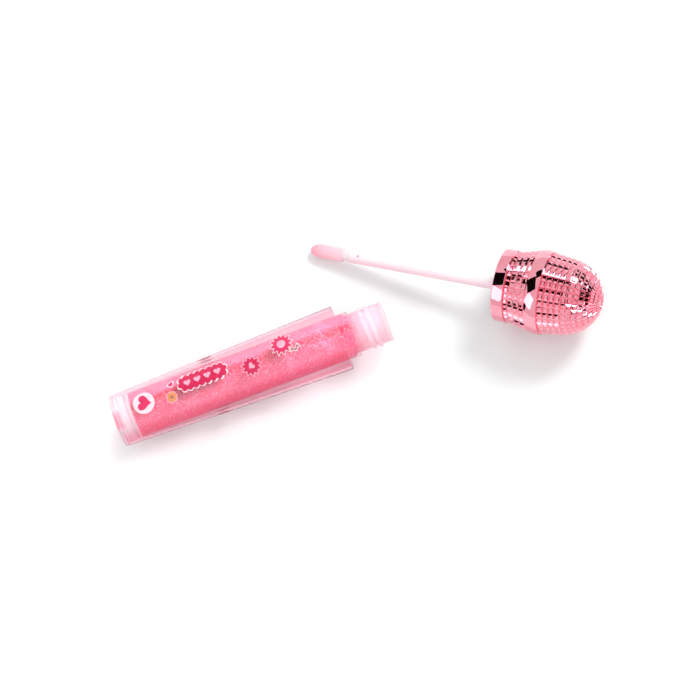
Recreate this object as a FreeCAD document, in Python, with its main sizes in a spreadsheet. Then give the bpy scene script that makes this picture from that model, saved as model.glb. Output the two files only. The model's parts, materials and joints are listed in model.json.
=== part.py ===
import FreeCAD, Part

import math
import os

import Sketcher

# A lip gloss shaped like a stage microphone, opened and laid on a table: the clear handle with its
# gloss vial lies on its side, and the round-headed cap lies beside it with its wand pointing back.
# Each piece is turned about its own Z axis and then laid on the table, which is the plane Z = 0.
# Handle pieces start from the handle's closed end, cap pieces from the cap's open edge, and wand
# pieces from the wand's tip.

doc = FreeCAD.newDocument("LipGloss")
dims = doc.addObject("Spreadsheet::Sheet", "dims")

# a size that follows from others is a sheet formula, and stands below them
sizes = {
    # the threaded neck, which the vial, the handle and the cap's liner are sized from
    "neckRadius": 7.05,
    "neckWall": 1.35,
    "shoulderWidth": 0.95,
    "vialRadius": "=neckRadius + shoulderWidth",
    # clear outer handle, a tapered tube round the vial
    "shellLength": 83.2,
    "shellWall": 1.0,
    "shellGap": 0.25,
    "shellFlare": 2.35,
    "baseRadius": "=vialRadius + shellGap + shellWall",
    "rimRadius": "=baseRadius + shellFlare",
    "edgeBreak": 0.3,
    # clear plug that closes the handle's narrow end
    "plugFlange": 1.4,
    "plugDepth": 5.2,
    "plugFit": 0.05,
    "recessRadius": 2.8,
    "recessDepth": 1.9,
    # straight gloss vial with its threaded neck
    "vialWall": 1.2,
    "vialFloor": 1.4,
    "vialCorner": 0.8,
    "shoulderStand": 4.3,
    "shoulderBreak": 0.4,
    "neckBore": "=neckRadius - neckWall",
    "neckRise": 10.9,
    "threadPitch": 2.4,
    "threadTurns": 2.0,
    "threadDepth": 0.65,
    "threadRoot": 1.5,
    "threadCrest": 0.7,
    "threadStart": 3.4,
    # wiper pressed into the neck
    "wiperLip": 0.1,
    "wiperFlangeRadius": "=neckRadius + wiperLip",
    "wiperFlange": 1.4,
    "wiperDepth": 8.4,
    "wiperWall": 0.8,
    "wiperCone": 2.4,
    "wiperFit": 0.03,
    "wipeGap": 0.08,
    "glossGap": 0.05,
    # cap: collar, bead groove, lower grille and band in one moulding, each stepped in from the band
    "bandRadius": 14.65,
    "bandStart": 12.4,
    "bandWidth": 4.3,
    "collarStep": 1.95,
    "collarRadius": "=bandRadius - collarStep",
    "collarHeight": 4.1,
    "capWall": 1.2,
    "grooveDepth": 0.7,
    "grooveRadius": "=collarRadius - grooveDepth",
    "grooveWidth": 1.7,
    "grilleStep": 0.45,
    "grilleTopRadius": "=bandRadius - grilleStep",
    "grilleFlare": 1.7,
    "grilleRadius": "=grilleTopRadius - grilleFlare",
    "bandCrown": 0.3,
    "ledgeRise": 0.4,
    "ledgeWidth": 1.0,
    "snapFit": 0.05,
    # cap: grille dome
    "domeStep": 0.5,
    "domeRadius": "=bandRadius - domeStep",
    "domeTaper": 1.05,
    "domeShoulderRadius": "=domeRadius - domeTaper",
    "domeShoulderHeight": 24.5,
    "capLength": 36.0,
    "domeWall": 1.2,
    # threaded liner and sealing washer inside the cap
    "seatGap": 0.2,
    "threadGap": 0.2,
    "linerWall": 1.0,
    "linerFlange": 1.0,
    "linerRoof": 1.5,
    "washerThickness": 0.8,
    "washerGap": 0.1,
    # wand
    "wandReach": 71.3,
    "stemRadius": 2.2,
    "stemFit": 0.05,
    "headRadius": 4.2,
    "headHeight": 1.5,
    "socketRadius": 1.2,
    "socketDepth": 6.0,
    "shankRadius": 1.95,
    "shankLength": 2.4,
    "coreRadius": 1.3,
    "flockRadius": 2.5,
    "flockLength": 12.7,
    "flockThickness": 3.6,
    "flockTipRadius": 1.0,
    "flockTipRise": 3.2,
    "flockWall": 1.2,
}
for row, (alias, value) in enumerate(sizes.items(), start=1):
    dims.set(f"A{row}", alias)
    dims.set(f"B{row}", str(value))
    dims.setAlias(f"B{row}", alias)
doc.recompute()


def bound(formula):
    """The formula with each size's name led by the sheet's."""
    words = []
    for word in formula.split():
        bare = word.strip("()")
        words.append(word.replace(bare, "dims." + bare) if bare in sizes else word)
    return " ".join(words)


def amount(formula):
    return float(dims.evalExpression(bound(formula)))


def originPlane(body, role):
    return next(f for f in body.Origin.OriginFeatures if f.Role == role)


def axialSketch(body, name, outline):
    """A closed outline on the body's XZ plane. Each point is (radius, height), as formulas of the
    sheet's sizes. A point led by "arc" is reached by an arc whose centre is on the axis."""
    sketch = body.newObject("Sketcher::SketchObject", name)
    sketch.AttachmentSupport = [(originPlane(body, "XZ_Plane"), "")]
    sketch.MapMode = "FlatFace"
    corners = [point[-2:] for point in outline]
    places = [FreeCAD.Vector(amount(r), amount(z), 0) for r, z in corners]
    ends = []
    for i, point in enumerate(outline):
        start, end = places[i - 1], places[i]
        if point[0] == "arc":
            height = (end.dot(end) - start.dot(start)) / (2 * (end.y - start.y))
            centre = FreeCAD.Vector(0, height, 0)
            low, high = (start, end) if start.x > end.x else (end, start)
            circle = Part.Circle(centre, FreeCAD.Vector(0, 0, 1), (start - centre).Length)
            turn = [math.atan2(p.y - height, p.x) for p in (low, high)]
            index = sketch.addGeometry(Part.ArcOfCircle(circle, turn[0], turn[1]), False)
            sketch.addConstraint(Sketcher.Constraint("PointOnObject", index, 3, -2))
            ends.append((index, 1, 2) if start is low else (index, 2, 1))
        else:
            index = sketch.addGeometry(Part.LineSegment(start, end), False)
            ends.append((index, 1, 2))
    for i, (r, z) in enumerate(corners):
        before, after = ends[i], ends[(i + 1) % len(ends)]
        sketch.addConstraint(Sketcher.Constraint("Coincident", before[0], before[2], after[0], after[1]))
        if amount(r) == 0:
            sketch.addConstraint(Sketcher.Constraint("PointOnObject", before[0], before[2], -2))
        else:
            level = Sketcher.Constraint("DistanceX", -1, 1, before[0], before[2], places[i].x)
            sketch.setExpression(f"Constraints[{sketch.addConstraint(level)}]", bound(r))
        if amount(z) == 0:
            sketch.addConstraint(Sketcher.Constraint("PointOnObject", before[0], before[2], -1))
        else:
            level = Sketcher.Constraint("DistanceY", -1, 1, before[0], before[2], places[i].y)
            sketch.setExpression(f"Constraints[{sketch.addConstraint(level)}]", bound(z))
    return sketch


def turned(label, outline):
    """A body turned about Z from its outline."""
    body = doc.addObject("PartDesign::Body", label)
    body.Label = label
    sketch = axialSketch(body, label + "Outline", outline)
    spun = body.newObject("PartDesign::Revolution", label + "Turning")
    spun.Profile = sketch
    spun.ReferenceAxis = (sketch, ["V_Axis"])
    spun.Angle = 360
    return body


def addThread(body, name, root, crest, start):
    """A right-hand ridge wound round the axis, from the root radius to the crest radius."""
    low = f"{start} - threadRoot / 2"
    high = f"{start} + threadRoot / 2"
    sketch = axialSketch(
        body,
        name + "Ridge",
        [
            (root, low),
            (crest, f"{start} - threadCrest / 2"),
            (crest, f"{start} + threadCrest / 2"),
            (root, high),
        ],
    )
    ridge = body.newObject("PartDesign::AdditiveHelix", name)
    ridge.Profile = sketch
    ridge.ReferenceAxis = (sketch, ["V_Axis"])
    ridge.Mode = "pitch-turns-angle"
    ridge.setExpression("Pitch", bound("threadPitch"))
    ridge.setExpression("Turns", bound("threadTurns"))
    return ridge


# ---- handle ----

taper = "( rimRadius - baseRadius ) / shellLength"
flangeRim = f"baseRadius + {taper} * plugFlange"
shoulder = "shellLength + shoulderStand"
neckTop = f"{shoulder} + neckRise"

outerShell = turned(
    "outer_shell",
    [
        (f"{flangeRim} - shellWall", "plugFlange"),
        (flangeRim, "plugFlange"),
        (f"rimRadius - {taper} * edgeBreak", "shellLength - edgeBreak"),
        ("rimRadius - edgeBreak", "shellLength"),
        ("rimRadius - shellWall", "shellLength"),
    ],
)

basePlug = turned(
    "base_plug",
    [
        ("recessRadius", "0"),
        ("baseRadius - edgeBreak", "0"),
        (f"baseRadius + {taper} * edgeBreak", "edgeBreak"),
        (flangeRim, "plugFlange"),
        (f"{flangeRim} - shellWall - plugFit", "plugFlange"),
        (f"{flangeRim} - shellWall - plugFit", "plugDepth"),
        ("0", "plugDepth"),
        ("0", "recessDepth"),
        ("recessRadius", "recessDepth"),
    ],
)

innerVial = turned(
    "inner_vial",
    [
        ("vialRadius - vialCorner", "plugDepth"),
        ("vialRadius", "plugDepth + vialCorner"),
        ("vialRadius", f"{shoulder} - shoulderBreak"),
        ("vialRadius - shoulderBreak", shoulder),
        ("neckRadius", shoulder),
        ("neckRadius", neckTop),
        ("neckBore", neckTop),
        ("neckBore", f"{shoulder} - vialWall"),
        ("vialRadius - vialWall", f"{shoulder} - vialWall - vialCorner"),
        ("vialRadius - vialWall", "plugDepth + vialFloor"),
        ("0", "plugDepth + vialFloor"),
        ("0", "plugDepth"),
    ],
)
addThread(
    innerVial, "neckThread", "neckRadius - wiperFit", "neckRadius + threadDepth", f"{shoulder} + threadStart"
)

sleeveRadius = "neckBore - wiperFit"
orifice = "stemRadius + wipeGap"
lip = f"{neckTop} - wiperDepth"
wiper = turned(
    "wiper",
    [
        (sleeveRadius, neckTop),
        ("wiperFlangeRadius", neckTop),
        ("wiperFlangeRadius", f"{neckTop} + wiperFlange - edgeBreak"),
        ("wiperFlangeRadius - edgeBreak", f"{neckTop} + wiperFlange"),
        (f"{sleeveRadius} - wiperWall", f"{neckTop} + wiperFlange"),
        (f"{sleeveRadius} - wiperWall", f"{lip} + wiperCone"),
        (orifice, lip),
        (f"{orifice} + wiperWall", lip),
        (sleeveRadius, f"{lip} + wiperCone"),
    ],
)

glossFill = turned(
    "gloss_fill",
    [
        ("vialRadius - vialWall - glossGap", "plugDepth + vialFloor + glossGap"),
        ("vialRadius - vialWall - glossGap", f"{shoulder} - vialWall - vialCorner - glossGap"),
        ("neckBore - glossGap", f"{shoulder} - vialWall - glossGap"),
        ("neckBore - glossGap", f"{lip} - glossGap"),
        ("0", f"{lip} - glossGap"),
        ("0", "plugDepth + vialFloor + glossGap"),
    ],
)

# ---- cap ----

ledge = "bandStart + ledgeRise"
bandEnd = "bandStart + bandWidth"
snapBore = "bandRadius - capWall"
grooveEnd = "collarHeight + grooveWidth"

capSleeve = turned(
    "cap_sleeve",
    [
        ("collarRadius - capWall", "0"),
        ("collarRadius - edgeBreak", "0"),
        ("collarRadius", "edgeBreak"),
        ("collarRadius", "collarHeight - edgeBreak"),
        ("collarRadius - edgeBreak", "collarHeight"),
        ("grooveRadius", "collarHeight"),
        ("grooveRadius", grooveEnd),
        ("grilleRadius", grooveEnd),
        ("grilleTopRadius", "bandStart"),
        ("bandRadius - bandCrown", "bandStart"),
        ("bandRadius", "bandStart + bandWidth / 4"),
        ("bandRadius", f"{bandEnd} - bandWidth / 4"),
        ("bandRadius - bandCrown", bandEnd),
        (snapBore, bandEnd),
        (snapBore, ledge),
        (f"{snapBore} - ledgeWidth", ledge),
        (f"{snapBore} - ledgeWidth", f"{ledge} - ledgeWidth"),
        ("collarRadius - capWall", grooveEnd),
    ],
)

skirt = f"{snapBore} - snapFit"
skirtFoot = f"{ledge} + linerFlange"
capDome = turned(
    "cap_dome",
    [
        (skirt, skirtFoot),
        (skirt, bandEnd),
        ("domeRadius", bandEnd),
        ("domeShoulderRadius", "domeShoulderHeight"),
        ("arc", "0", "capLength"),
        ("0", "capLength - domeWall"),
        ("arc", "domeShoulderRadius - domeWall", "domeShoulderHeight"),
        (f"{skirt} - domeWall", bandEnd),
        (f"{skirt} - domeWall", skirtFoot),
    ],
)

linerMouth = "shoulderStand + seatGap"
linerBore = "neckRadius + threadDepth + threadGap"
sealTop = "shoulderStand + neckRise + wiperFlange + washerThickness + washerGap * 2"
innerLiner = turned(
    "inner_liner",
    [
        (linerBore, linerMouth),
        (f"{linerBore} + linerWall", linerMouth),
        (f"{linerBore} + linerWall", ledge),
        (skirt, ledge),
        (skirt, skirtFoot),
        (f"{linerBore} + linerWall", skirtFoot),
        (f"{linerBore} + linerWall", f"{sealTop} + linerRoof"),
        ("stemRadius + stemFit", f"{sealTop} + linerRoof"),
        ("stemRadius + stemFit", sealTop),
        (linerBore, sealTop),
    ],
)
addThread(
    innerLiner,
    "linerThread",
    f"{linerBore} + wiperFit",
    "neckRadius + threadGap",
    "shoulderStand + threadStart + threadPitch / 2",
)

sealingWasher = turned(
    "sealing_washer",
    [
        ("stemRadius + washerGap", f"{sealTop} - washerThickness - washerGap"),
        (f"{linerBore} - washerGap", f"{sealTop} - washerThickness - washerGap"),
        (f"{linerBore} - washerGap", f"{sealTop} - washerGap"),
        ("stemRadius + washerGap", f"{sealTop} - washerGap"),
    ],
)

# ---- wand ----

stemFoot = "flockLength + shankLength"
stemTop = f"wandReach + {sealTop} + linerRoof"
wandStem = turned(
    "wand_stem",
    [
        ("socketRadius", stemFoot),
        ("stemRadius", stemFoot),
        ("stemRadius", stemTop),
        ("headRadius", stemTop),
        ("headRadius", f"{stemTop} + headHeight"),
        ("0", f"{stemTop} + headHeight"),
        ("0", f"{stemFoot} + socketDepth"),
        ("socketRadius", f"{stemFoot} + socketDepth"),
    ],
)

coreTip = "flockWall * 2"
applicatorCore = turned(
    "applicator_core",
    [
        ("coreRadius / 2", coreTip),
        ("coreRadius", f"{coreTip} + coreRadius"),
        ("coreRadius", "flockLength"),
        ("shankRadius", "flockLength"),
        ("shankRadius", stemFoot),
        ("socketRadius - stemFit", stemFoot),
        ("socketRadius - stemFit", f"{stemFoot} + socketDepth - stemFit"),
        ("0", f"{stemFoot} + socketDepth - stemFit"),
        ("0", coreTip),
    ],
)

flockedTip = turned(
    "flocked_tip",
    [
        ("flockTipRadius", "0"),
        ("flockRadius", "flockTipRise"),
        ("flockRadius", "flockLength - edgeBreak"),
        ("flockRadius - edgeBreak", "flockLength"),
        ("coreRadius + stemFit", "flockLength"),
        ("coreRadius + stemFit", f"{coreTip} + coreRadius - stemFit"),
        ("coreRadius / 2", f"{coreTip} - stemFit"),
        ("0", f"{coreTip} - stemFit"),
        ("0", "0"),
    ],
)


def flattened(body, thickness):
    """Pares the body to the thickness along X, on both sides of its axis."""
    slab = body.newObject("Sketcher::SketchObject", body.Name + "Sides")
    slab.AttachmentSupport = [(originPlane(body, "XY_Plane"), "")]
    slab.MapMode = "FlatFace"
    near, far, half = amount(f"{thickness} / 2"), amount(thickness), amount("flockRadius * 2")
    for side in (-1, 1):
        corners = [
            FreeCAD.Vector(side * near, -half, 0),
            FreeCAD.Vector(side * far, -half, 0),
            FreeCAD.Vector(side * far, half, 0),
            FreeCAD.Vector(side * near, half, 0),
        ]
        first = slab.GeometryCount
        for i in range(4):
            slab.addGeometry(Part.LineSegment(corners[i], corners[(i + 1) % 4]), False)
        for i in range(4):
            slab.addConstraint(
                Sketcher.Constraint("Coincident", first + i, 2, first + (i + 1) % 4, 1)
            )
        slab.addConstraint(Sketcher.Constraint("Vertical", first + 1))
        slab.addConstraint(Sketcher.Constraint("Vertical", first + 3))
        slab.addConstraint(Sketcher.Constraint("Horizontal", first))
        slab.addConstraint(Sketcher.Constraint("Horizontal", first + 2))
        pinned = [
            ("DistanceX", (first, 1), f"{side} * {thickness} / 2", side * near),
            ("DistanceX", (first, 2), f"{side} * {thickness}", side * far),
            ("DistanceY", (first, 1), "-2 * flockRadius", -half),
            ("DistanceY", (first + 2, 1), "2 * flockRadius", half),
        ]
        for kind, (line, end), formula, value in pinned:
            index = slab.addConstraint(Sketcher.Constraint(kind, -1, 1, line, end, value))
            slab.setExpression(f"Constraints[{index}]", bound(formula))
    cut = body.newObject("PartDesign::Pocket", body.Name + "Flats")
    cut.Profile = slab
    cut.Type = "ThroughAll"
    cut.Midplane = True
    return cut


doc.recompute()
roundVolume = flockedTip.Shape.Volume
flattened(flockedTip, "flockThickness")
doc.recompute()
if not flockedTip.Shape.Volume < roundVolume:
    raise RuntimeError("the flats cut nothing from the flocked tip")

# ---- how the two lie on the table ----

handleHeading = 18.97
capHeading = -15.6
apart = FreeCAD.Vector(134.3, 43.9, 0)

handleTilt = math.atan(amount(taper))
handleRest = FreeCAD.Vector(0, 0, amount("baseRadius") * math.cos(handleTilt))

# the cap rests on its collar's outer edge and on the band's crown
restRise = amount("bandRadius - collarRadius")
restRun = amount("bandStart + bandWidth / 4 - edgeBreak")
capTilt = math.atan(restRise / restRun)
edgeDrop = amount("edgeBreak") * math.sin(capTilt)
capRest = FreeCAD.Vector(0, 0, amount("collarRadius") * math.cos(capTilt) - edgeDrop)


def lying(point, heading, tilt):
    """Lays a piece down: its Z axis runs along the heading and rises by the tilt (radians)."""
    turn = FreeCAD.Rotation(FreeCAD.Vector(0, 0, 1), heading)
    lay = FreeCAD.Rotation(FreeCAD.Vector(0, 1, 0), 90 - math.degrees(tilt))
    return FreeCAD.Placement(point, turn * lay)


handlePieces = [outerShell, basePlug, innerVial, glossFill, wiper]
capPieces = [capSleeve, capDome, innerLiner, sealingWasher]
wandPieces = [wandStem, applicatorCore, flockedTip]

handlePlace = lying(handleRest, handleHeading, handleTilt)
capPlace = lying(capRest + apart, capHeading, capTilt)
wandShift = FreeCAD.Placement(FreeCAD.Vector(0, 0, -amount("wandReach")), FreeCAD.Rotation())
for pieces, place in (
    (handlePieces, handlePlace),
    (capPieces, capPlace),
    (wandPieces, capPlace * wandShift),
):
    for piece in pieces:
        piece.Placement = place
doc.recompute()

# the origin goes on the table, under the middle of the pair
pair = FreeCAD.BoundBox()
for piece in handlePieces + capPieces + wandPieces:
    pair.add(piece.Shape.optimalBoundingBox(False, False))
toMiddle = FreeCAD.Vector(-pair.Center.x, -pair.Center.y, -pair.ZMin)
for piece in handlePieces + capPieces + wandPieces:
    piece.Placement = FreeCAD.Placement(piece.Placement.Base + toMiddle, piece.Placement.Rotation)
doc.recompute()

for thing in doc.Objects:
    if "Invalid" in thing.State or "Error" in thing.State:
        raise RuntimeError(f"{thing.Label} is {thing.State}")
for piece in handlePieces + capPieces + wandPieces:
    if piece.Shape.isNull() or not piece.Shape.isValid() or len(piece.Shape.Solids) != 1:
        raise RuntimeError(f"{piece.Label} isn't one sound solid")

os.makedirs("parts", exist_ok=True)
for piece in handlePieces + capPieces + wandPieces:
    piece.Shape.exportStep(f"parts/{piece.Label}.step")
    print(f"{piece.Label}: {piece.Shape.Volume:.1f} mm3")

capAxis = capPlace.Rotation.multVec(FreeCAD.Vector(0, 0, 1))
capEdge = capPlace.Base + toMiddle
handleAxis = handlePlace.Rotation.multVec(FreeCAD.Vector(0, 0, 1))
handleEnd = handlePlace.Base + toMiddle
print(f"cap edge {tuple(capEdge)}, axis {tuple(capAxis)}, tilt {math.degrees(capTilt):.2f}")
print(f"handle end {tuple(handleEnd)}, axis {tuple(handleAxis)}, tilt {math.degrees(handleTilt):.2f}")
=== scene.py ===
import json
import math

import bmesh
import bpy
from mathutils import Matrix, Vector


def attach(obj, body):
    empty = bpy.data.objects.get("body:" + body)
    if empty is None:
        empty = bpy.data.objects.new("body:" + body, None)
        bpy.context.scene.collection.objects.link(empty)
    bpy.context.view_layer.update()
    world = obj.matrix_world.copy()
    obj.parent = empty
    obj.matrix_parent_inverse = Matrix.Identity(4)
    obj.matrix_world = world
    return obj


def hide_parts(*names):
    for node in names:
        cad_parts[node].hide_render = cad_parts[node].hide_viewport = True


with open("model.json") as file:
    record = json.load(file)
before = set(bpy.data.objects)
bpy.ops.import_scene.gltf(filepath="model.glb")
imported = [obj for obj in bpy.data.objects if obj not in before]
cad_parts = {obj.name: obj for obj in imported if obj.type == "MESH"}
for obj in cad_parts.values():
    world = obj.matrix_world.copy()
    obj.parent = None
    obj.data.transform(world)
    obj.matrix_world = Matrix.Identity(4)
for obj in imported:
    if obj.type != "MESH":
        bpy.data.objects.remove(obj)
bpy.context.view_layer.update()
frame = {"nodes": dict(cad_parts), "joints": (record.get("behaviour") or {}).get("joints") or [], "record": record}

mm = 0.001
weld = 0.001 * mm  # points closer than this are one point


# where the two halves lie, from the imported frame

def layMatrix(point, axis):
    # local Z along the axis, local Y level with the table, local X down to it
    z = Vector(axis).normalized()
    y = Vector((0, 0, 1)).cross(z).normalized()
    x = y.cross(z)
    turn = Matrix((x, y, z)).transposed().to_4x4()
    return Matrix.Translation(point) @ turn


faceOffset = 6 * mm  # the base mount's point lies this far above the handle's axis

baseMount = frame["record"]["mounts"][0]
capJoint = next(j for j in frame["joints"] if j["type"] == "hinge")
handleAxis = -Vector(baseMount["axis"]).normalized()
faceUp = (Vector((0, 0, 1)) - handleAxis * handleAxis.z).normalized()
handlePlace = layMatrix(Vector(baseMount["pos_m"]) - faceUp * faceOffset, handleAxis)
capPlace = layMatrix(Vector(capJoint["pos_m"]), capJoint["axis"])


# mesh helpers

onAxis = 1e-6  # millimetres


def softened(profile, radius, steps=4):
    # rounds each corner of a closed (r, z) outline, as far as its two sides allow
    points = [Vector(p) for p in profile]
    made = []
    for i, corner in enumerate(points):
        before, after = points[i - 1] - corner, points[(i + 1) % len(points)] - corner
        reach = min(radius, before.length * 0.45, after.length * 0.45)
        if corner.x < onAxis or reach < onAxis:  # nothing to round
            made.append(corner)
            continue
        start, end = corner + before.normalized() * reach, corner + after.normalized() * reach
        for k in range(steps + 1):
            t = k / steps
            made.append((1 - t) ** 2 * start + 2 * t * (1 - t) * corner + t ** 2 * end)
    return made


def linkedPiece(bm, name, finish):
    mesh = bpy.data.meshes.new(name)
    bm.to_mesh(mesh)
    bm.free()
    mesh.materials.append(finish)
    piece = bpy.data.objects.new(name, mesh)
    bpy.context.collection.objects.link(piece)
    return piece


def ridingPiece(bm, name, finish, body, node=None):
    piece = linkedPiece(bm, name, finish)
    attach(piece, body)
    if node:
        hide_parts(node)
    return piece


def faceOutward(bm):
    # an open skin has no inside to go by: its faces are turned away from the axis
    bmesh.ops.recalc_face_normals(bm, faces=bm.faces)
    middles = [(face, face.calc_center_median()) for face in bm.faces]
    if sum(face.normal.dot(Vector((m.x, m.y, 0))) for face, m in middles) < 0:
        bmesh.ops.reverse_faces(bm, faces=bm.faces)


def finishMesh(bm, name, place, finish, body, node=None, sharp=35):
    bmesh.ops.remove_doubles(bm, verts=bm.verts, dist=weld)
    bmesh.ops.recalc_face_normals(bm, faces=bm.faces)
    bm.transform(place)
    for face in bm.faces:
        face.smooth = True
    for edge in bm.edges:
        edge.smooth = not (edge.is_manifold and edge.calc_face_angle(0) > math.radians(sharp))
    return ridingPiece(bm, name, finish, body, node)


def spunShape(profile, steps):
    # a closed (r, z) outline in millimetres, turned once about Z
    bm = bmesh.new()
    verts = [bm.verts.new((p[0] * mm, 0, p[1] * mm)) for p in profile]
    edges = [bm.edges.new((verts[i - 1], verts[i])) for i in range(len(verts))]
    bmesh.ops.spin(
        bm, geom=verts + edges, axis=(0, 0, 1), cent=(0, 0, 0), angle=math.tau, steps=steps, use_merge=True
    )
    return bm


def turnedPiece(name, profile, place, finish, body, node=None, steps=128, soft=0.25):
    bm = spunShape(softened(profile, soft) if soft else profile, steps)
    return finishMesh(bm, name, place, finish, body, node)


# material helpers

def newFinish(name, **sockets):
    finish = bpy.data.materials.new(name)
    finish.use_nodes = True
    shader = finish.node_tree.nodes["Principled BSDF"]
    for socket, value in sockets.items():
        shader.inputs[socket.replace("_", " ")].default_value = value
    return finish, shader


def addNode(finish, kind, **settings):
    node = finish.node_tree.nodes.new(kind)
    for key, value in settings.items():
        if key in node.inputs:
            node.inputs[key].default_value = value
        else:
            setattr(node, key, value)
    return node


def join(finish, out, into):
    finish.node_tree.links.new(out, into)


def pieceCoords(finish, place):
    # coordinates in a half's own frame: Z along its axis, Y across, X down
    coords = addNode(finish, "ShaderNodeTexCoord")
    own = addNode(finish, "ShaderNodeMapping", vector_type="TEXTURE")
    own.inputs["Location"].default_value = place.translation
    own.inputs["Rotation"].default_value = place.to_euler()
    join(finish, coords.outputs["Object"], own.inputs["Vector"])
    return own.outputs["Vector"]


def noiseOf(finish, vector, scale, detail=3.0):
    noise = addNode(finish, "ShaderNodeTexNoise", Scale=scale, Detail=detail)
    join(finish, vector, noise.inputs["Vector"])
    return noise.outputs["Fac"]


def rampOf(finish, value, stops):
    ramp = addNode(finish, "ShaderNodeValToRGB")
    band = ramp.color_ramp
    while len(band.elements) < len(stops):
        band.elements.new(0.5)
    for element, (place, colour) in zip(band.elements, stops):
        element.position = place
        element.color = (*colour, 1) if len(colour) == 3 else colour
    join(finish, value, ramp.inputs["Fac"])
    return ramp.outputs["Color"]


def bumpOf(finish, shader, height, strength, distance):
    bump = addNode(finish, "ShaderNodeBump", Strength=strength, Distance=distance)
    join(finish, height, bump.inputs["Height"])
    join(finish, bump.outputs["Normal"], shader.inputs["Normal"])


def grey(v):
    return (v, v, v)


def axesOf(finish, vector):
    axes = addNode(finish, "ShaderNodeSeparateXYZ")
    join(finish, vector, axes.inputs[0])
    return axes.outputs


def rangeOf(finish, value, low, high):
    spread = addNode(finish, "ShaderNodeMapRange")
    spread.inputs["From Min"].default_value = low * mm
    spread.inputs["From Max"].default_value = high * mm
    join(finish, value, spread.inputs["Value"])
    return spread.outputs["Result"]


def blendOf(finish, share, first, second, blend="MIX"):
    blended = addNode(finish, "ShaderNodeMixRGB", blend_type=blend)
    for value, socket in ((share, "Fac"), (first, "Color1"), (second, "Color2")):
        if isinstance(value, float):
            blended.inputs[socket].default_value = value
        elif isinstance(value, tuple):
            blended.inputs[socket].default_value = (*value, 1)
        else:
            join(finish, value, blended.inputs[socket])
    return blended.outputs["Color"]


# finishes

# noise in the finishes, in patches per metre
grain = {
    # pool sets the size of the painted highlight patches on the gloss
    "wall": 90.0, "wallBump": 60.0, "streak": 210.0, "highlightPatch": 75.0, "mottle": 150.0,
    "wear": 220.0, "wearBump": 500.0, "ink": 700.0, "fibre": 600.0,
}


def letLightThrough(finish, shader, tint):
    # lamp light passes the clear wall straight on, with a little of its tint
    path = addNode(finish, "ShaderNodeLightPath")
    clear = addNode(finish, "ShaderNodeBsdfTransparent", Color=(*tint, 1))
    either = addNode(finish, "ShaderNodeMixShader")
    join(finish, path.outputs["Is Shadow Ray"], either.inputs[0])
    join(finish, shader.outputs[0], either.inputs[1])
    join(finish, clear.outputs[0], either.inputs[2])
    join(finish, either.outputs[0], finish.node_tree.nodes["Material Output"].inputs["Surface"])


# the pink towards a clear wall's two sides is painted refraction of the gloss, laid over the wall's own tint
tintReach = 11.0  # the tint of a clear wall runs this far to either side of its axis


def clearPlastic(name, look, place):
    # clear wall, its colour running from the lower side's to the upper side's: pinker towards both sides, which is
    # painted refraction of the pink gloss through the wall, and the wall's own faint tint in the middle
    finish, shader = newFinish(name, IOR=look["ior"], Transmission_Weight=look["clear"])
    own = pieceCoords(finish, place)
    cloud = noiseOf(finish, own, grain["wall"])
    axes = axesOf(finish, own)
    uneven = blendOf(finish, 0.12, rangeOf(finish, axes["Y"], -tintReach, tintReach), cloud, "OVERLAY")
    tintsWithPaintedRefraction = [(0.1, look["low"]), (0.22, look["middle"]), (0.78, look["middle"]), (0.9, look["high"])]
    tint = rampOf(finish, uneven, tintsWithPaintedRefraction)
    # the hollow in the plug's end is painted deep pink: painted shade in the recess
    if "recessShade" in look:
        flat = addNode(finish, "ShaderNodeVectorMath", operation="MULTIPLY")
        flat.inputs[1].default_value = (1, 1, 0)
        join(finish, own, flat.inputs[0])
        radial = addNode(finish, "ShaderNodeVectorMath", operation="LENGTH")
        join(finish, flat.outputs["Vector"], radial.inputs[0])
        wide, deep = look["recessRadius"], look["recessDepth"]
        beside = rangeOf(finish, radial.outputs["Value"], wide + 0.1, wide + 0.5)
        beyond = rangeOf(finish, axes["Z"], deep + 0.1, deep + 0.3)
        tint = blendOf(finish, blendOf(finish, beyond, beside, (1.0, 1.0, 1.0)), look["recessShade"], tint)
    if "milky" in look:
        # the floor and the neck are cloudier than the straight wall
        span = look["clear"] - look["milky"]
        stops = [(z / look["length"], grey(look["milky"] + span * share)) for z, share in look["milkyAt"]]
        clearness = rampOf(finish, rangeOf(finish, axes["Z"], 0, look["length"]), stops)
        join(finish, clearness, shader.inputs["Transmission Weight"])
    join(finish, tint, shader.inputs["Base Color"])
    rough = [(0.3, grey(look["smooth"])), (0.75, grey(look["hazy"]))]
    join(finish, rampOf(finish, cloud, rough), shader.inputs["Roughness"])
    bumpOf(finish, shader, noiseOf(finish, own, grain["wallBump"]), 0.03, 0.0002)
    letLightThrough(finish, shader, look["shade"])
    return finish


glossLook = {
    "deep": (0.80, 0.02, 0.085),
    "mid": (0.88, 0.095, 0.205),
    # light: painted light, the paler pink given to the gloss's lower and upper sides
    "light": (0.90, 0.19, 0.33),
    # lilac: the colour of the painted highlights laid over the gloss
    "lilacHighlight": (0.90, 0.42, 0.72),
    "glitter": (1.0, 0.72, 0.88),
    "thin": (0.96, 0.40, 0.52),
    "flakesPerMetre": 3400.0,
    "flakeShare": 0.87,
    "sparkle": 0.45,
    "thinFrom": 86.5,
    "thinTo": 92.0,
    "shade": (0.70, 0.68, 0.69),
}


def flakesOf(finish, vector, scale, share):
    # a few whole cells, picked by chance, stand out as flakes
    flakes = addNode(finish, "ShaderNodeTexVoronoi", Scale=scale)
    join(finish, vector, flakes.inputs["Vector"])
    chance = addNode(finish, "ShaderNodeSeparateColor")
    join(finish, flakes.outputs["Color"], chance.inputs[0])
    return rampOf(finish, chance.outputs[0], [(share - 0.02, grey(0.0)), (share, grey(1.0))])


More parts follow.
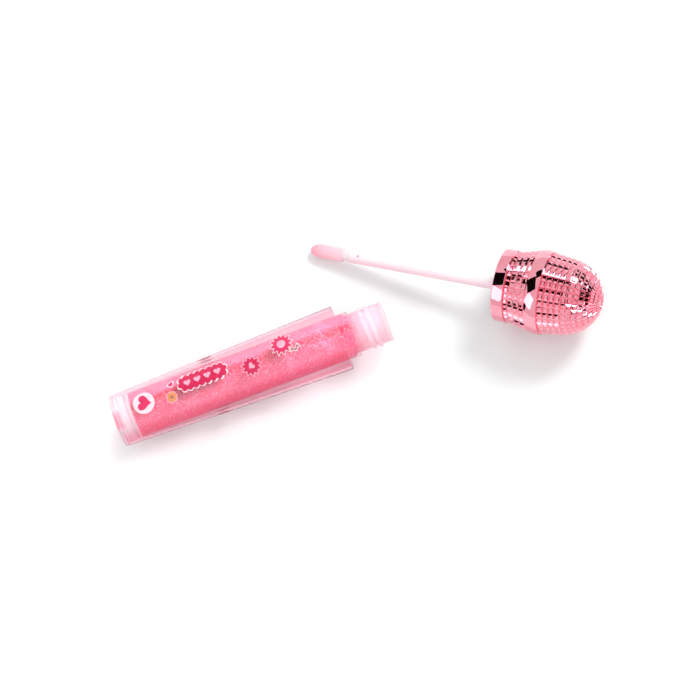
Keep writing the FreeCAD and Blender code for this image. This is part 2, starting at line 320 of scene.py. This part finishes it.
def glossFinish(place):
    look = glossLook
    finish, shader = newFinish(
        "pinkGlitterGloss", Roughness=0.3, Subsurface_Weight=0.15, Subsurface_Scale=0.001
    )
    own = pieceCoords(finish, place)
    axes = axesOf(finish, own)
    stretched = addNode(finish, "ShaderNodeMapping")
    stretched.inputs["Scale"].default_value = (1.0, 1.0, 0.22)
    join(finish, own, stretched.inputs["Vector"])
    streaks = noiseOf(finish, stretched.outputs["Vector"], grain["streak"], 5.0)
    # across the gloss: the lighter pink towards its lower and upper sides is painted light, lifting the lower side
    # out of its shade and brightening the upper side that faces the lamp; deeper pink just above the middle
    across = blendOf(finish, 0.3, rangeOf(finish, axes["Y"], -7, 7), streaks, "OVERLAY")
    shades = ("light", "mid", "mid", "deep", "deep", "light", "light")
    stops = (0.0, 0.3, 0.44, 0.54, 0.60, 0.72, 1.0)
    body = rampOf(finish, across, [(stop, look[shade]) for stop, shade in zip(stops, shades)])
    # lilac patches laid over the gloss by noise: painted highlights, standing in for the lamps' reflection in the
    # wall
    lilacHighlightPatches = rampOf(finish, noiseOf(finish, own, grain["highlightPatch"], 2.0), [(0.58, grey(0.0)), (0.72, grey(0.55))])
    body = blendOf(finish, lilacHighlightPatches, body, look["lilacHighlight"])
    glitter = flakesOf(finish, own, look["flakesPerMetre"], look["flakeShare"])
    body = blendOf(finish, glitter, body, blendOf(finish, look["sparkle"], body, look["glitter"]))
    dark = flakesOf(finish, own, look["flakesPerMetre"] * 0.8, 0.9)
    body = blendOf(finish, dark, body, blendOf(finish, look["sparkle"], body, look["deep"]))
    thin = rangeOf(finish, axes["Z"], look["thinFrom"], look["thinTo"])
    join(finish, blendOf(finish, thin, body, look["thin"]), shader.inputs["Base Color"])
    letLightThrough(finish, shader, look["shade"])
    return finish


def milkyPlastic(name, colours, place, stops=None, way="Z", shade=None, **sockets):
    # milky plastic that fades through the colours from one stop to the other, or mottles between them
    finish, shader = newFinish(name, IOR=1.46, **sockets)
    own = pieceCoords(finish, place)
    mottle = noiseOf(finish, own, grain["mottle"])
    value = mottle
    if stops:
        value = blendOf(finish, 0.15, rangeOf(finish, axesOf(finish, own)[way], *stops), mottle, "OVERLAY")
    steps = [(i / (len(colours) - 1), c) for i, c in enumerate(colours)]
    join(finish, rampOf(finish, value, steps), shader.inputs["Base Color"])
    bumpOf(finish, shader, mottle, 0.05, 0.0002)
    if shade:
        letLightThrough(finish, shader, shade)
    return finish


chromeLook = {"light": (1.0, 0.40, 0.48), "deep": (0.97, 0.32, 0.41), "roughLow": 0.02, "roughHigh": 0.05}


def roseChrome(name, place):
    look = chromeLook
    finish, shader = newFinish(name, Metallic=1.0)
    own = pieceCoords(finish, place)
    wear = noiseOf(finish, own, grain["wear"], 4.0)
    colours = [(0.25, look["deep"]), (0.6, look["light"])]
    join(finish, rampOf(finish, wear, colours), shader.inputs["Base Color"])
    rough = [(0.3, grey(look["roughLow"])), (0.8, grey(look["roughHigh"]))]
    join(finish, rampOf(finish, wear, rough), shader.inputs["Roughness"])
    bumpOf(finish, shader, noiseOf(finish, own, grain["wearBump"]), 0.03, 0.0002)
    return finish


def printInk(name, colour, deeper):
    finish, shader = newFinish(name, Roughness=0.35)
    coords = addNode(finish, "ShaderNodeTexCoord")
    speckle = noiseOf(finish, coords.outputs["Object"], grain["ink"])
    join(finish, rampOf(finish, speckle, [(0.3, deeper), (0.65, colour)]), shader.inputs["Base Color"])
    return finish


# low and high: pink painted towards a wall's two sides across the table, painted refraction of the gloss through
# the wall; middle: the wall's own tint
shellLook = {
    "ior": 1.18, "clear": 0.98, "smooth": 0.01, "hazy": 0.04, "shade": (0.97, 0.96, 0.965),
    "low": (1.0, 0.60, 0.70), "middle": (1.0, 0.95, 0.97), "high": (1.0, 0.62, 0.72),
}
plugLook = {
    "ior": 1.3, "clear": 0.78, "smooth": 0.04, "hazy": 0.12, "shade": (0.95, 0.93, 0.94),
    "low": (1.0, 0.70, 0.77), "middle": (1.0, 0.84, 0.88), "high": (1.0, 0.70, 0.77),
    # the deep pink here is painted shade for the hollow in the plug's end
    "recessShade": (0.95, 0.16, 0.32), "recessRadius": 2.8, "recessDepth": 1.9,
}
vialLook = {
    "ior": 1.2, "clear": 0.97, "smooth": 0.02, "hazy": 0.06, "shade": (0.96, 0.95, 0.955),
    "low": (1.0, 0.74, 0.81), "middle": (1.0, 0.86, 0.91), "high": (1.0, 0.74, 0.81),
    "milky": 0.72, "length": 98.4, "milkyAt": ((6.2, 0.0), (7.2, 1.0), (86.5, 1.0), (89.5, 0.0)),
}
shellFinish = clearPlastic("clearShell", shellLook, handlePlace)
plugFinish = clearPlastic("clearPlug", plugLook, handlePlace)
vialFinish = clearPlastic("clearVial", vialLook, handlePlace)
glossPink = glossFinish(handlePlace)
chromeFinish = roseChrome("roseChrome", capPlace)
print("finishes ready")

# handle

shell = {
    "length": 83.2, "baseRadius": 9.25, "rimRadius": 11.6, "wall": 1.0,
    "plugFlange": 1.4, "plugDepth": 5.2, "recessRadius": 2.8, "recessDepth": 1.9,
}
taper = (shell["rimRadius"] - shell["baseRadius"]) / shell["length"]


def shellRadius(z):
    return shell["baseRadius"] + taper * z


flange, wall = shell["plugFlange"], shell["wall"]
turnedPiece(
    "shellTube",
    [
        (shellRadius(flange) - wall, flange),
        (shellRadius(flange), flange),
        (shell["rimRadius"], shell["length"]),
        (shell["rimRadius"] - wall, shell["length"]),
    ],
    handlePlace, shellFinish, "handle", "outer_shell",
)
plugGap = 0.03  # the plug stops this far short of the shell and the vial
spigot = shellRadius(flange) - wall - 0.05
turnedPiece(
    "plugDisc",
    [
        (shell["recessRadius"], 0),
        (shell["baseRadius"], 0),
        (shellRadius(flange), flange - plugGap),
        (spigot, flange - plugGap),
        (spigot, shell["plugDepth"] - plugGap),
        (0, shell["plugDepth"] - plugGap),
        (0, shell["recessDepth"]),
        (shell["recessRadius"], shell["recessDepth"]),
    ],
    handlePlace, plugFinish, "handle", "base_plug", soft=0.5,
)

vial = {
    "radius": 8.0, "wall": 1.2, "floor": 1.4, "start": 5.2, "shoulder": 87.5, "neckRadius": 7.05,
    "neckBore": 5.7, "neckTop": 98.4, "threadDepth": 0.65, "threadPitch": 2.4, "threadTurns": 2.0,
    "threadStart": 90.9, "threadWidth": 1.5,
}


def threadRidge(bm, look):
    # a ridge wound round the neck: its section is swept up a helix by the screw of the spin
    root, half = look["neckRadius"] - 0.15, look["threadWidth"] / 2
    crest = look["neckRadius"] + look["threadDepth"]
    section = [(root, -half), (crest, -half * 0.45), (crest, half * 0.45), (root, half)]
    verts = [bm.verts.new((r * mm, 0, (look["threadStart"] + z) * mm)) for r, z in section]
    face = bm.faces.new(verts)
    steps = int(64 * look["threadTurns"])
    rise = look["threadPitch"] * look["threadTurns"] * mm / steps
    bmesh.ops.spin(
        bm, geom=[face], axis=(0, 0, 1), cent=(0, 0, 0), dvec=(0, 0, rise),
        angle=math.tau * look["threadTurns"], steps=steps,
    )


def vialMesh():
    v = vial
    inner = v["radius"] - v["wall"]
    profile = [
        (v["radius"], v["start"]),
        (v["radius"], v["shoulder"]),
        (v["neckRadius"], v["shoulder"]),
        (v["neckRadius"], v["neckTop"]),
        (v["neckBore"], v["neckTop"]),
        (v["neckBore"], v["shoulder"] - v["wall"]),
        (inner, v["shoulder"] - 2 * v["wall"]),
        (inner, v["start"] + v["floor"]),
        (0, v["start"] + v["floor"]),
        (0, v["start"]),
    ]
    bm = spunShape(softened(profile, 0.5), 128)
    threadRidge(bm, v)
    return bm


finishMesh(vialMesh(), "vialTube", handlePlace, vialFinish, "handle", "inner_vial")

# the gloss wets the wall by its overlap, and climbs round the wiper's cone
gloss = {"overlap": 0.03, "coneRadius": 3.05, "coneDip": 8.45, "wallDip": 6.8}
glossProfile = [
    (vial["radius"] - vial["wall"] + gloss["overlap"], vial["start"] + vial["floor"] - gloss["overlap"]),
    (vial["radius"] - vial["wall"] + gloss["overlap"], vial["shoulder"] - 2 * vial["wall"]),
    (vial["neckBore"] + gloss["overlap"], vial["shoulder"] - vial["wall"]),
    (vial["neckBore"] + gloss["overlap"], vial["neckTop"] - gloss["wallDip"]),
    (gloss["coneRadius"], vial["neckTop"] - gloss["coneDip"]),
    (0, vial["neckTop"] - gloss["coneDip"]),
    (0, vial["start"] + vial["floor"] - gloss["overlap"]),
]
turnedPiece("glossColumn", glossProfile, handlePlace, glossPink, "handle", "gloss_fill", soft=0.5)

wiperLook = {
    "flangeRadius": 7.15, "flange": 1.4, "depth": 8.4, "wall": 0.8, "cone": 2.4, "orifice": 2.28,
    "colours": [
        (0.92, 0.30, 0.44), (0.95, 0.48, 0.60), (0.97, 0.64, 0.73), (0.97, 0.70, 0.77), (0.97, 0.74, 0.80),
    ],
}
wiperFinish = milkyPlastic(
    "milkyWiper", wiperLook["colours"], handlePlace, (89.5, 99.0),
    shade=(0.8, 0.74, 0.76), Roughness=0.3, Transmission_Weight=0.35,
    Subsurface_Weight=0.3, Subsurface_Scale=0.002,
)
sleeve = vial["neckBore"] + gloss["overlap"]
lipAt = vial["neckTop"] - wiperLook["depth"]
mouth = vial["neckBore"] - wiperLook["wall"]
turnedPiece(
    "wiperSleeve",
    [
        (sleeve, vial["neckTop"] + 0.01),
        (wiperLook["flangeRadius"], vial["neckTop"] + 0.01),
        (wiperLook["flangeRadius"], vial["neckTop"] + wiperLook["flange"]),
        (mouth, vial["neckTop"] + wiperLook["flange"]),
        (mouth, lipAt + wiperLook["cone"]),
        (wiperLook["orifice"], lipAt),
        (wiperLook["orifice"] + wiperLook["wall"], lipAt),
        (sleeve, lipAt + wiperLook["cone"]),
    ],
    handlePlace, wiperFinish, "handle", "wiper",
)

# the printing on the shell, all of it plain shapes

inkLook = {
    "white": ((0.86, 0.70, 0.77), (0.80, 0.60, 0.68)),
    "magenta": ((0.66, 0.015, 0.09), (0.55, 0.01, 0.07)),
    "deepPink": ((0.74, 0.03, 0.13), (0.64, 0.02, 0.10)),
    "palePink": ((0.88, 0.42, 0.54), (0.82, 0.34, 0.46)),
    "orange": ((0.78, 0.30, 0.12), (0.66, 0.20, 0.08)),
    "brown": ((0.42, 0.16, 0.12), (0.30, 0.10, 0.08)),
}
inks = {name: printInk(name + "Ink", *pair) for name, pair in inkLook.items()}
inkLift = 0.02  # the lowest ink stands this far off the shell
inkStep = 0.025  # and each layer this far off the one below


def circleLine(radius, count=48):
    turns = [math.tau * k / count for k in range(count)]
    return [(radius * math.cos(turn), radius * math.sin(turn)) for turn in turns]


def burstLine(outer, inner, points):
    line = []
    for k in range(points * 2):
        reach = inner if k % 2 else outer
        line.append((reach * math.cos(math.pi * k / points), reach * math.sin(math.pi * k / points)))
    return line


def daisyLine(radius, petals, dip, count=80):
    line = []
    for k in range(count):
        turn = math.tau * k / count
        reach = radius * (1 - dip + dip * abs(math.cos(petals * turn / 2)))
        line.append((reach * math.cos(turn), reach * math.sin(turn)))
    return line


def heartLine(size, count=40):
    line = []
    for k in range(count):
        t = math.tau * k / count
        across = 16 * math.sin(t) ** 3
        up = 13 * math.cos(t) - 5 * math.cos(2 * t) - 2 * math.cos(3 * t) - math.cos(4 * t)
        line.append((across * size / 32, up * size / 32))
    return line


def cloudLine(length, height, lobes, swell, count=180):
    # a long patch with round ends, its rim in scallops
    radius = height / 2
    straight = length - height
    around = 2 * straight + math.tau * radius
    line = []
    for k in range(count):
        gone = around * k / count
        if gone < straight:
            spot, out = (gone - straight / 2, -radius), (0, -1)
        elif gone < straight + math.pi * radius:
            turn = (gone - straight) / radius - math.pi / 2
            out = (math.cos(turn), math.sin(turn))
            spot = (straight / 2 + radius * out[0], radius * out[1])
        elif gone < 2 * straight + math.pi * radius:
            spot, out = (straight / 2 - (gone - straight - math.pi * radius), radius), (0, 1)
        else:
            turn = (gone - 2 * straight - math.pi * radius) / radius + math.pi / 2
            out = (math.cos(turn), math.sin(turn))
            spot = (-straight / 2 + radius * out[0], radius * out[1])
        bump = swell * abs(math.sin(math.pi * lobes * k / count))
        line.append((spot[0] + out[0] * bump, spot[1] + out[1] * bump))
    return line


def waveLine(length, height, thick, waves, count=40):
    top = [
        (length * (k / count - 0.5), height * math.sin(math.tau * waves * k / count) + thick / 2)
        for k in range(count + 1)
    ]
    return top + [(u, v - thick) for u, v in reversed(top)]


def printShape(name, line, along, around, ink, layer, turn=0.0):
    # a flat shape laid on the tapered shell: along from the closed end, around from its top
    bm = bmesh.new()
    verts = [bm.verts.new((u * mm, v * mm, 0)) for u, v in line]
    bm.faces.new(verts)
    bmesh.ops.rotate(bm, verts=bm.verts, matrix=Matrix.Rotation(math.radians(turn), 3, "Z"))
    low = min(v.co.y for v in bm.verts)
    high = max(v.co.y for v in bm.verts)
    strips = max(2, int((high - low) / (0.5 * mm)))
    for k in range(1, strips):
        cut = (0, low + (high - low) * k / strips, 0)
        whole = list(bm.verts) + list(bm.edges) + list(bm.faces)
        bmesh.ops.bisect_plane(bm, geom=whole, dist=1e-8, plane_co=cut, plane_no=(0, 1, 0))
    bmesh.ops.triangulate(bm, faces=bm.faces)
    for vert in bm.verts:
        z = along * mm + vert.co.x
        radius = (shellRadius(z / mm) + inkLift + layer * inkStep) * mm
        spin = math.radians(around) - vert.co.y / radius
        vert.co = Vector((-radius * math.cos(spin), -radius * math.sin(spin), z))
    faceOutward(bm)
    bm.transform(handlePlace)
    ridingPiece(bm, name, inks[ink], "handle")


printShape("badgeDisc", circleLine(3.85), 11.7, 0, "white", 0)
printShape("badgeHeart", heartLine(5.4), 11.7, 0, "deepPink", 1, turn=70)
printShape("tinyHeart", heartLine(2.8), 22.5, -16, "white", 0, turn=20)
printShape("tinyHeartMiddle", heartLine(1.9), 22.5, -16, "deepPink", 1, turn=20)
printShape("daisyRim", daisyLine(2.15, 7, 0.12), 21.6, 10, "palePink", 0)
printShape("daisy", daisyLine(1.85, 7, 0.18), 21.6, 10, "orange", 1)
printShape("daisyEye", circleLine(0.6, 24), 21.6, 10, "brown", 2)
printShape("bannerRim", cloudLine(17.5, 5.25, 18, 0.78), 33.8, -7, "white", 0)
printShape("banner", cloudLine(16.8, 4.6, 18, 0.7), 33.8, -7, "magenta", 1)
for k in range(4):
    printShape(f"bannerHeart{k}", heartLine(2.5), 28.2 + 3.7 * k, -7, "palePink", 2)
printShape("smallBurstRim", burstLine(3.95, 2.75, 11), 51.0, 8, "palePink", 0)
printShape("smallBurst", burstLine(3.5, 2.35, 11), 51.0, 8, "magenta", 1)
printShape("smallBurstHeart", heartLine(2.4), 51.0, 8, "palePink", 2, turn=-60)
printShape("bigBurstRim", burstLine(4.55, 3.1, 12), 63.1, -11, "white", 0)
printShape("bigBurst", burstLine(4.1, 2.7, 12), 63.1, -11, "deepPink", 1)
printShape("bigBurstEye", circleLine(1.5, 32), 63.1, -11, "palePink", 2)
printShape("squiggleRim", waveLine(3.9, 0.45, 1.5, 1.5), 67.2, 6, "white", 0, turn=15)
printShape("squiggle", waveLine(3.3, 0.4, 0.7, 1.5), 67.2, 6, "brown", 1, turn=15)
for side, around in (("far", -82), ("near", 118)):
    printShape(side + "Line", waveLine(17.0, 0.12, 0.45, 6), 50.0, around, "brown", 0)
    printShape(side + "Burst", burstLine(3.2, 2.2, 11), 36.0, around, "palePink", 0)
print("handle ready")

# cap

cap = {
    "collarRadius": 12.7, "collarHeight": 4.1, "wall": 1.2, "grooveRadius": 11.9, "grooveEnd": 5.8,
    "grilleRadius": 12.5, "grilleTopRadius": 14.2, "bandStart": 12.4, "bandEnd": 16.7, "bandRadius": 14.65,
    "domeRadius": 14.15, "domeShoulderRadius": 13.1, "domeShoulderHeight": 24.5, "length": 36.0,
}
studs = {"around": 38, "height": 0.5, "valley": 0.03, "slope": 0.27, "rise": 2.05}


def addStuds(bm, look):
    # row by row, a narrow valley round each cell and a small pyramid on it
    rows = {}
    for face in bm.faces:
        if len(face.verts) == 4:
            rows.setdefault(round(face.calc_center_median().z / mm, 2), []).append(face)
    for faces in rows.values():
        cell = min(edge.calc_length() for edge in faces[0].edges)
        widest = max(edge.calc_length() for edge in faces[0].edges)
        height = look["height"] * mm * min(1.0, widest / (look["rise"] * mm))
        bmesh.ops.inset_individual(bm, faces=faces, thickness=look["valley"] * cell, use_even_offset=True)
        bmesh.ops.inset_individual(
            bm, faces=faces, thickness=look["slope"] * cell, depth=height, use_even_offset=True
        )


def studShell(profile, name, node=None):
    # an open outline spun once; each cell of it that faces outwards gets a stud
    bm = bmesh.new()
    verts = [bm.verts.new((r * mm, 0, z * mm)) for r, z in profile]
    edges = [bm.edges.new((verts[i], verts[i + 1])) for i in range(len(verts) - 1)]
    bmesh.ops.spin(
        bm, geom=verts + edges, axis=(0, 0, 1), cent=(0, 0, 0), angle=math.tau,
        steps=studs["around"], use_merge=True,
    )
    bmesh.ops.remove_doubles(bm, verts=bm.verts, dist=weld)
    faceOutward(bm)
    addStuds(bm, studs)
    bm.transform(capPlace)
    return ridingPiece(bm, name, chromeFinish, "cap", node)


def domeProfile():
    c = cap
    sunk = studs["height"]
    low, high, top = c["domeRadius"] - sunk, c["domeShoulderRadius"] - sunk, c["length"] - sunk
    side = c["domeShoulderHeight"] - c["bandEnd"]
    centre = (top ** 2 - high ** 2 - c["domeShoulderHeight"] ** 2) / (2 * (top - c["domeShoulderHeight"]))
    ball = top - centre
    rows = max(1, round(side / studs["rise"]))
    points = [(low + (high - low) * k / rows, c["bandEnd"] + side * k / rows) for k in range(rows + 1)]
    startTurn = math.atan2(c["domeShoulderHeight"] - centre, high)
    turns = max(1, round(ball * (math.pi / 2 - startTurn) / studs["rise"]))
    for k in range(1, turns + 1):
        turn = startTurn + (math.pi / 2 - startTurn) * k / turns
        points.append((max(0.0, ball * math.cos(turn)) if k < turns else 0.0, centre + ball * math.sin(turn)))
    return points


studShell(domeProfile(), "grilleHead", "cap_dome")

sunk = studs["height"]
grilleRows = 3
grille = [
    (
        cap["grilleRadius"] - sunk + (cap["grilleTopRadius"] - cap["grilleRadius"]) * k / grilleRows,
        cap["grooveEnd"] + (cap["bandStart"] - cap["grooveEnd"]) * k / grilleRows,
    )
    for k in range(grilleRows + 1)
]
studShell(grille, "grilleSkirt")
studShell(
    [(cap["grooveRadius"], cap["collarHeight"]), (cap["grooveRadius"], cap["grooveEnd"])], "beadRow"
)

bore = cap["collarRadius"] - cap["wall"]
snap = cap["bandRadius"] - cap["wall"]
turnedPiece(
    "collarRing",
    [
        (bore, 0), (cap["collarRadius"], 0), (cap["collarRadius"], cap["collarHeight"]),
        (cap["grooveRadius"] - 0.1, cap["collarHeight"]), (cap["grooveRadius"] - 0.1, cap["grooveEnd"]),
        (bore, cap["grooveEnd"]),
    ],
    capPlace, chromeFinish, "cap", "cap_sleeve", soft=0.3,
)


def bandProfile():
    # the band's face bulges a little between its two edges
    steps, crown = 10, 0.3
    start, width = cap["bandStart"], cap["bandEnd"] - cap["bandStart"]
    face = []
    for k in range(steps + 1):
        t = k / steps
        face.append((cap["bandRadius"] - crown * (2 * t - 1) ** 2, start + width * t))
    return [(snap - 1.0, start)] + face + [(snap - 1.0, cap["bandEnd"])]


finishMesh(spunShape(bandProfile(), 160), "bandRing", capPlace, chromeFinish, "cap", sharp=40)

linerFinish = milkyPlastic(
    "linerPlastic", [(0.80, 0.72, 0.74), (0.90, 0.84, 0.86)], capPlace, Roughness=0.4
)
washerFinish = milkyPlastic("washerFoam", [(0.78, 0.74, 0.75), (0.9, 0.87, 0.88)], capPlace, Roughness=0.8)
for node, finish in (("inner_liner", linerFinish), ("sealing_washer", washerFinish)):
    cadNode = frame["nodes"][node]
    cadNode.data.materials.clear()
    cadNode.data.materials.append(finish)
print("cap ready")

# wand

wand = {
    "reach": 71.3, "stemRadius": 2.2, "stemFoot": 15.1, "stemTop": 89.9, "headRadius": 4.2, "headHeight": 1.5,
    "shankRadius": 1.95, "flockRadius": 2.5, "flockLength": 12.7, "flatness": 0.72, "noseLength": 4.2,
    "stem": [(0.96, 0.66, 0.74), (0.97, 0.78, 0.84), (0.98, 0.88, 0.91), (0.98, 0.92, 0.94)],
    "shank": [(0.98, 0.70, 0.77), (0.99, 0.85, 0.89)],
}
wandPlace = capPlace @ Matrix.Translation((0, 0, -wand["reach"] * mm))
stemFinish = milkyPlastic(
    "milkyStem", wand["stem"], wandPlace, (-2.4, 1.6), "Y",
    Roughness=0.22, Transmission_Weight=0.1, Subsurface_Weight=0.3, Subsurface_Scale=0.001,
)
shankFinish = milkyPlastic(
    "milkyShank", wand["shank"], wandPlace,
    Roughness=0.25, Transmission_Weight=0.2, Subsurface_Weight=0.4, Subsurface_Scale=0.002,
)
turnedPiece(
    "wandRod",
    [
        (0, wand["stemFoot"]), (wand["stemRadius"], wand["stemFoot"]), (wand["stemRadius"], wand["stemTop"]),
        (wand["headRadius"], wand["stemTop"]), (wand["headRadius"], wand["stemTop"] + wand["headHeight"]),
        (0, wand["stemTop"] + wand["headHeight"]),
    ],
    wandPlace, stemFinish, "cap", "wand_stem", steps=48,
)
turnedPiece(
    "wandShank",
    [(0, wand["flockLength"] - 0.5), (wand["shankRadius"], wand["flockLength"] - 0.5),
     (wand["shankRadius"], wand["stemFoot"] + 0.2), (0, wand["stemFoot"] + 0.2)],
    wandPlace, shankFinish, "cap", "applicator_core", steps=48, soft=0.1,
)

flock = {
    "wet": (0.90, 0.30, 0.40), "mid": (0.98, 0.46, 0.54), "light": (0.99, 0.56, 0.64),
    "fuzzPerMetre": 5200.0,
}


def flockFinish():
    finish, shader = newFinish("pinkFlock", Roughness=0.75, Sheen_Weight=0.5)
    own = pieceCoords(finish, wandPlace)
    along = rangeOf(finish, axesOf(finish, own)["Z"], 0, wand["flockLength"])
    blend = blendOf(finish, 0.5, along, noiseOf(finish, own, grain["fibre"], 4.0), "OVERLAY")
    shades = [(0.0, flock["wet"]), (0.3, flock["mid"]), (0.8, flock["light"])]
    join(finish, rampOf(finish, blend, shades), shader.inputs["Base Color"])
    bumpOf(finish, shader, noiseOf(finish, own, flock["fuzzPerMetre"], 2.0), 0.7, 0.0003)
    return finish


def flockMesh():
    # a rounded paddle: spun from its side outline, then flattened towards the table
    length, radius = wand["flockLength"], wand["flockRadius"]
    steps = 24
    outline = [(0, 0)]
    for k in range(1, steps + 1):
        t = (k / steps) ** 1.8
        blunt = 1 - min(1.0, length * t / wand["noseLength"])
        outline.append((radius * math.sqrt(1 - blunt ** 2) * (1 - 0.05 * t), length * t))
    outline += [(radius * 0.7, length), (0, length)]
    bm = spunShape(outline, 48)
    bmesh.ops.scale(bm, vec=(wand["flatness"], 1, 1), verts=bm.verts)
    return bm


finishMesh(flockMesh(), "flockPaddle", wandPlace, flockFinish(), "cap", "flocked_tip", sharp=60)

glossDrop = {"along": 18.4, "size": (0.2, 0.45, 0.5), "wet": (0.90, 0.28, 0.42), "dry": (0.94, 0.42, 0.54)}


def addGlossDrop():
    # a speck of gloss left on the stem, on its upper side
    bm = bmesh.new()
    bmesh.ops.create_icosphere(bm, subdivisions=3, radius=1)
    bmesh.ops.scale(bm, vec=[v * mm for v in glossDrop["size"]], verts=bm.verts)
    bmesh.ops.translate(bm, vec=(-wand["stemRadius"] * mm, 0, glossDrop["along"] * mm), verts=bm.verts)
    wet = milkyPlastic("glossDropPink", [glossDrop["wet"], glossDrop["dry"]], wandPlace, Roughness=0.15)
    finishMesh(bm, "glossDrop", wandPlace, wet, "cap")


addGlossDrop()
print("wand ready")

# table, light and camera

stage = {"floorSize": 6.0, "floor": (0.835, 0.86, 0.857), "sky": 1.0, "horizon": 0.95, "strength": 0.88}


def buildFloor():
    bm = bmesh.new()
    bmesh.ops.create_grid(bm, x_segments=1, y_segments=1, size=stage["floorSize"] / 2)
    finish, shader = newFinish("whiteTable", Roughness=0.9, Specular_IOR_Level=0.1)
    coords = addNode(finish, "ShaderNodeTexCoord")
    cloud = noiseOf(finish, coords.outputs["Object"], 20.0)
    white = stage["floor"]
    whites = [(0.0, [v - 0.005 for v in white]), (1.0, white)]
    join(finish, rampOf(finish, cloud, whites), shader.inputs["Base Color"])
    linkedPiece(bm, "paleTable", finish)


def buildWorld():
    world = bpy.data.worlds.new("studioRoom")
    bpy.context.scene.world = world
    world.use_nodes = True
    tree = world.node_tree
    coords = tree.nodes.new("ShaderNodeTexCoord")
    axes = tree.nodes.new("ShaderNodeSeparateXYZ")
    ramp = tree.nodes.new("ShaderNodeValToRGB")
    tree.links.new(coords.outputs["Generated"], axes.inputs[0])
    tree.links.new(axes.outputs["Z"], ramp.inputs["Fac"])
    ramp.color_ramp.elements[0].color = (*grey(stage["horizon"]), 1)
    ramp.color_ramp.elements[1].color = (*grey(stage["sky"]), 1)
    tree.links.new(ramp.outputs["Color"], tree.nodes["Background"].inputs["Color"])
    tree.nodes["Background"].inputs["Strength"].default_value = stage["strength"]


lamps = [
    {"name": "keySoftbox", "from": (0.62, 0.66, 0.88), "size": 0.42, "power": 9.5},
    {"name": "nearSoftbox", "from": (-0.70, -0.65, 0.73), "size": 0.8, "power": 3.2},
]


def aimAt(thing, point, target):
    thing.location = point
    thing.rotation_euler = (Vector(target) - Vector(point)).to_track_quat("-Z", "Y").to_euler()


def buildLamps():
    for lamp in lamps:
        light = bpy.data.lights.new(lamp["name"], "AREA")
        light.size = lamp["size"]
        light.energy = lamp["power"]
        holder = bpy.data.objects.new(lamp["name"], light)
        bpy.context.collection.objects.link(holder)
        aimAt(holder, lamp["from"], (0, 0, 0))


flags = [
    {"name": "overheadFlag", "at": (-0.50, 0.14, 1.02), "size": (0.78, 0.85), "turn": 18},
    {"name": "farFlag", "at": (0.10, 0.60, 0.96), "size": (0.46, 0.40), "turn": 20},
]
# dark curtains round the room: each has the heading where it starts, how far it goes, and its top
curtain = {"radius": 1.6, "foot": 0.02, "spans": ((-25, 88, 1.15), (160, 60, 0.6))}


def hangCard(bm, name, finish):
    # only shiny pieces see a card: it casts no shadow and darkens nothing else
    card = linkedPiece(bm, name, finish)
    card.visible_shadow = False
    card.visible_diffuse = False
    card.visible_transmission = False
    card.visible_camera = False


def buildFlags():
    # black cards that give the chrome its dark reflections
    finish, shader = newFinish("blackCard", Roughness=0.9, Specular_IOR_Level=0.0)
    coords = addNode(finish, "ShaderNodeTexCoord")
    cloud = noiseOf(finish, coords.outputs["Object"], 8.0)
    join(finish, rampOf(finish, cloud, [(0.0, grey(0.002)), (1.0, grey(0.006))]), shader.inputs["Base Color"])
    for flag in flags:
        bm = bmesh.new()
        bmesh.ops.create_grid(bm, x_segments=1, y_segments=1, size=0.5)
        bmesh.ops.scale(bm, vec=(*flag["size"], 1), verts=bm.verts)
        at = Vector(flag["at"])
        spin = Matrix.Rotation(math.radians(flag["turn"]), 4, "Z")
        bm.transform(Matrix.Translation(at) @ (-at).to_track_quat("-Z", "Y").to_matrix().to_4x4() @ spin)
        hangCard(bm, flag["name"], finish)
    for k, (start, span, top) in enumerate(curtain["spans"]):
        bm = bmesh.new()
        foot = bm.verts.new((curtain["radius"], 0, curtain["foot"]))
        head = bm.verts.new((curtain["radius"], 0, top))
        edge = bm.edges.new((foot, head))
        bmesh.ops.spin(
            bm, geom=[foot, head, edge], axis=(0, 0, 1), cent=(0, 0, 0), angle=math.radians(span), steps=16
        )
        bm.transform(Matrix.Rotation(math.radians(start), 4, "Z"))
        hangCard(bm, f"roomCurtain{k}", finish)


camera = {
    "towards": (0.1085, -0.283, 0.953), "distance": 1.0,
    "aim": (-0.00315, -0.00195, 0.0), "lens": 147.1,
}


def buildCamera():
    lens = bpy.data.cameras.new("sceneCamera")
    lens.lens = camera["lens"]
    lens.sensor_width = 36.0
    holder = bpy.data.objects.new("sceneCamera", lens)
    bpy.context.collection.objects.link(holder)
    aim = Vector(camera["aim"])
    out = Vector(camera["towards"]).normalized()
    holder.location = aim + out * camera["distance"]
    side = Vector((0, 1, 0)).cross(out).normalized()
    turn = Matrix((side, out.cross(side), out)).transposed()
    holder.rotation_euler = turn.to_euler()
    bpy.context.scene.camera = holder


buildFloor()
buildWorld()
buildLamps()
buildFlags()
buildCamera()
bpy.context.scene.view_settings.view_transform = "Standard"
print("stage ready")
